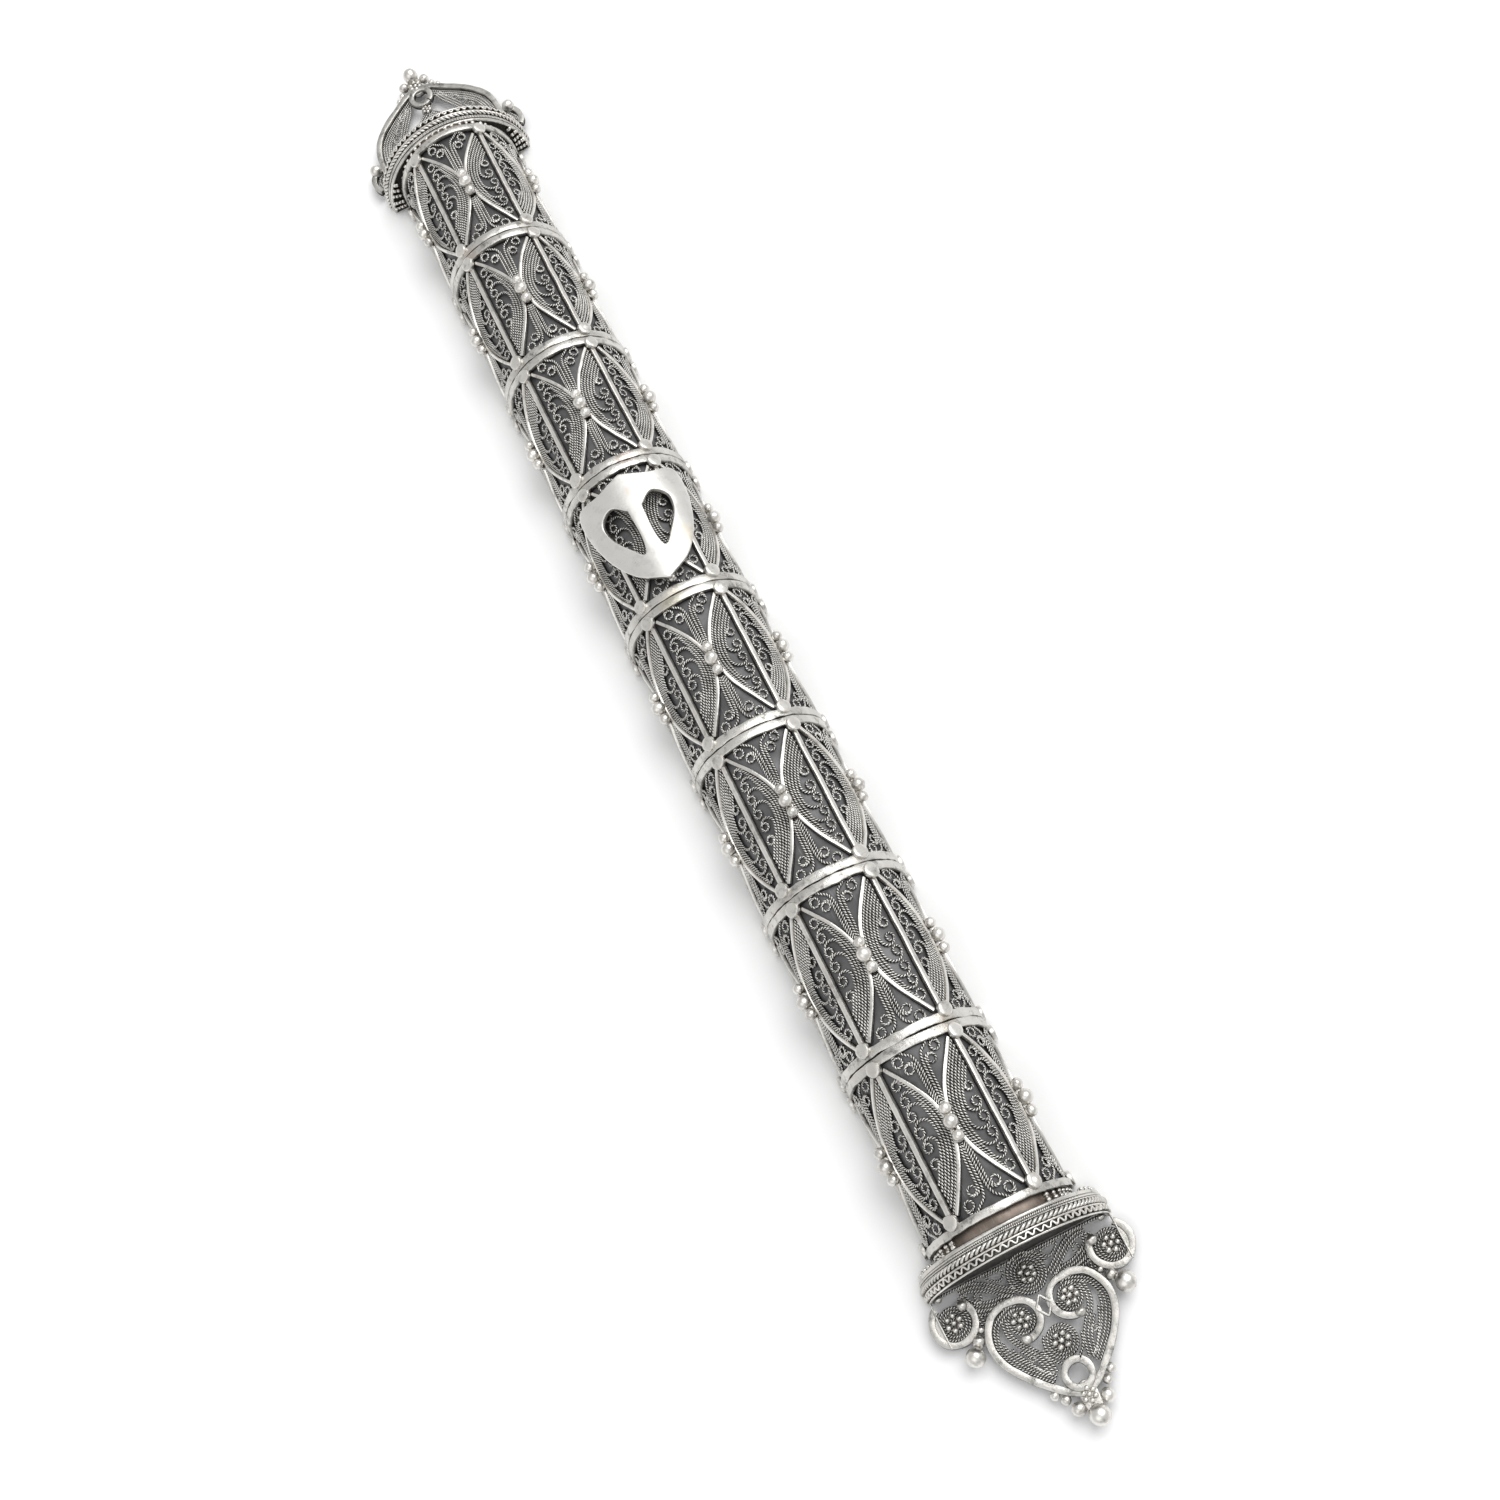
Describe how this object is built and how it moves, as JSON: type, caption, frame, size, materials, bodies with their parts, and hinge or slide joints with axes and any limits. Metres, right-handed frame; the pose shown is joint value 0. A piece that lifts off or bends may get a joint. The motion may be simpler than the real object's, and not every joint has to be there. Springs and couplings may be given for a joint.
{
  "type": "mezuzah case",
  "caption": "Long half-round silver filigree mezuzah case with roped end collars, pierced finials with nail holes, a plain pierced shield plaque and a sliding back panel.",
  "frame": {"origin": "middle of the flat back, halfway between the two tips", "axes": "+X across the case, +Y along it towards the upper finial, +Z out of the decorated front"},
  "size_m": [0.0258, 0.2246, 0.0138],
  "materials": {
    "silver": "bright oxidised silver, soldered wire and granules",
    "worn_silver": "satin hand-worked silver sheet",
    "dark_silver": "blackened silver sheet",
    "filigree": "twisted silver wire, blackened in the hollows"
  },
  "bodies": {
    "case": {"liner": "dark_silver", "rail_left": "dark_silver", "rail_right": "dark_silver", "ring_1": "worn_silver", "ring_2": "worn_silver", "ring_3": "worn_silver", "ring_4": "worn_silver", "ring_5": "worn_silver", "ring_6": "worn_silver", "ring_7": "worn_silver", "lattice_1": "silver", "infill_1": "filigree", "lattice_2": "silver", "infill_2": "filigree", "lattice_3": "silver", "infill_3": "filigree", "lattice_4": "silver", "infill_4": "filigree", "lattice_5": "silver", "infill_5": "filigree", "lattice_6": "silver", "infill_6": "filigree", "lattice_7": "silver", "infill_7": "filigree", "lattice_8": "silver", "infill_8": "filigree", "shield_plaque": "worn_silver", "lower_end_band": "silver", "lower_gallery": "worn_silver", "lower_rim": "silver", "lower_rim_rope": "silver", "lower_rim_zigzag": "silver", "lower_end_wall": "dark_silver", "upper_end_band": "silver", "upper_gallery": "worn_silver", "upper_rim": "silver", "upper_rim_rope": "silver", "upper_rim_zigzag": "silver", "upper_end_wall": "dark_silver", "lower_heart_frame": "silver", "lower_lobe_left": "silver", "lower_lobe_right": "silver", "lower_finial_sheet": "filigree", "lower_nail_ring": "silver", "lower_tip_beads": "silver", "upper_ogee_frame": "silver", "upper_lobe_left": "silver", "upper_lobe_right": "silver", "upper_finial_sheet": "filigree", "upper_nail_ring": "silver", "upper_tip_beads": "silver"},
    "back_panel": {"back_panel": "worn_silver"}
  },
  "joints": [
    {"name": "back_panel_slide", "type": "slide", "parent": "case", "child": "back_panel", "axis": [0, -1, 0], "range_m": [0, 0.165]}
  ]
}
